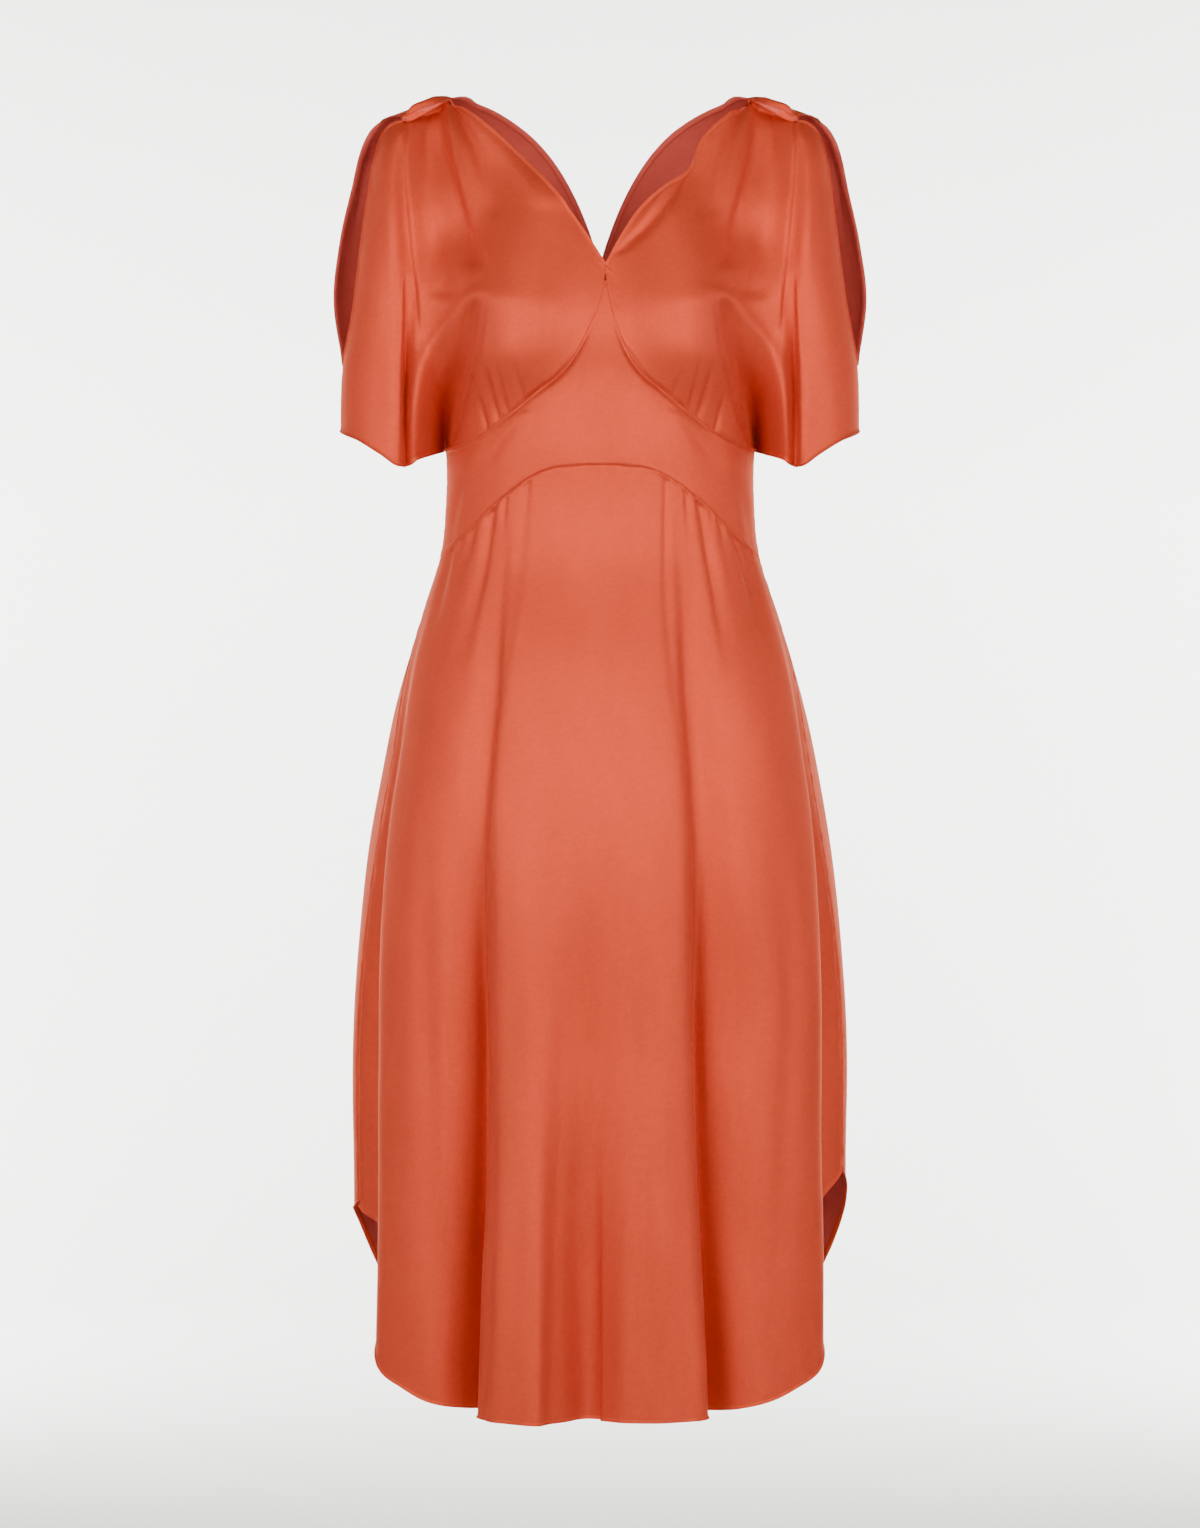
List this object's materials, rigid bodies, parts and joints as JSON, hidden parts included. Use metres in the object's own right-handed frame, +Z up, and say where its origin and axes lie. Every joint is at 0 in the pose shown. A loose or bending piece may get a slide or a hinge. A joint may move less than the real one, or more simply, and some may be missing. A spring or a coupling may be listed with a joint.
{
  "type": "midi dress",
  "caption": "Worn-form satin midi dress: deep V neck, short slit kimono sleeves, gathered bust, fitted midriff band and softly draped skirt with a curved hem.",
  "frame": {"origin": "midway between the tops of the two shoulders, where the wearer's shoulders hold the dress up", "axes": "+Z up along the dress, +X to the wearer's left, -Y to the front of the dress"},
  "size_m": [0.469, 0.3086, 1.147],
  "materials": {
    "satin": "orange crepe-back satin with a soft sheen and a darker red reverse"
  },
  "bodies": {
    "root": {"bodice_front_right": "satin", "bodice_front_left": "satin", "bodice_back_right": "satin", "bodice_back_left": "satin", "midriff_front": "satin", "midriff_back": "satin", "skirt_front": "satin", "skirt_back": "satin"}
  },
  "joints": []
}
